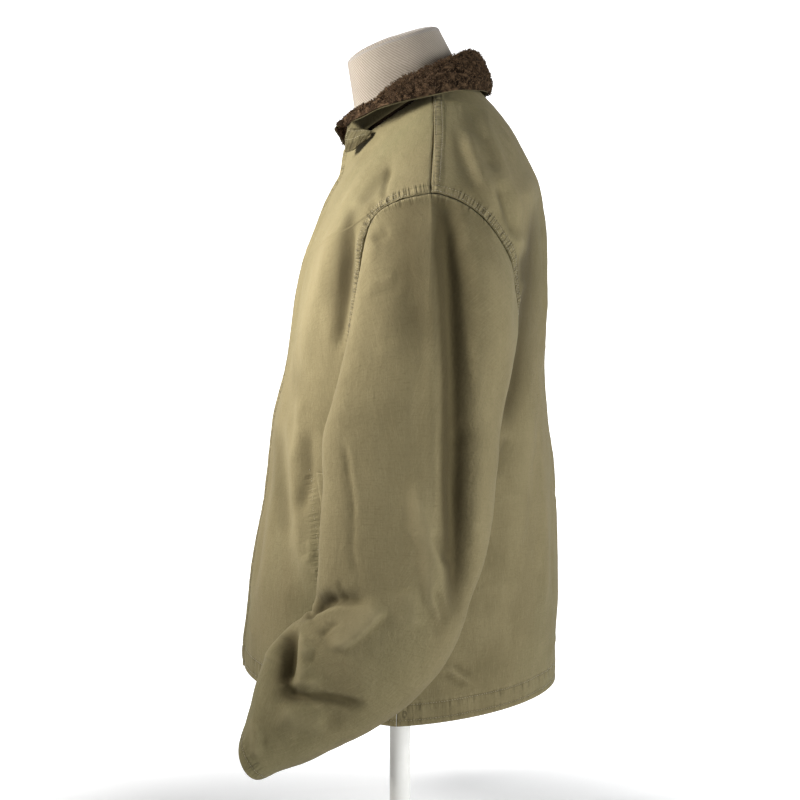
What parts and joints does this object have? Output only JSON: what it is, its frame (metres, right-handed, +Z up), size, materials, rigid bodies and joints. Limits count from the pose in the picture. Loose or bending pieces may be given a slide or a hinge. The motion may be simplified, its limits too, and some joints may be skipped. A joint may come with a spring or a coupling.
{
  "type": "deck jacket on a dress form",
  "caption": "Hip-length cotton deck jacket with a pile collar, buttoned wind flap and bent empty sleeves, filled out on a limbless dress form with a round stand.",
  "frame": {"origin": "centre of the stand base's underside, where the part rests", "axes": "+Z up, the jacket's front faces -Y, the wearer's left is +X"},
  "size_m": [0.6409, 0.39, 1.0146],
  "materials": {
    "shell_cloth": "matt cotton twill with a faint sheen",
    "pile": "curly wool-like pile",
    "form_cloth": "fine ribbed jersey",
    "stand_paint": "satin off-white",
    "button": "satin, four holes"
  },
  "bodies": {
    "root": {"front_left": "shell_cloth", "front_right": "shell_cloth", "back": "shell_cloth", "sleeve_left": "shell_cloth", "sleeve_right": "shell_cloth", "wind_flap": "shell_cloth", "pocket_welt_left": "shell_cloth", "pocket_welt_right": "shell_cloth", "collar_under": "shell_cloth", "throat_tab": "shell_cloth", "collar_pile": "pile", "form_body": "form_cloth", "stand_pole": "stand_paint", "stand_base": "stand_paint", "button_1": "button", "button_2": "button", "button_3": "button", "button_4": "button", "button_5": "button", "button_6": "button"}
  },
  "joints": []
}
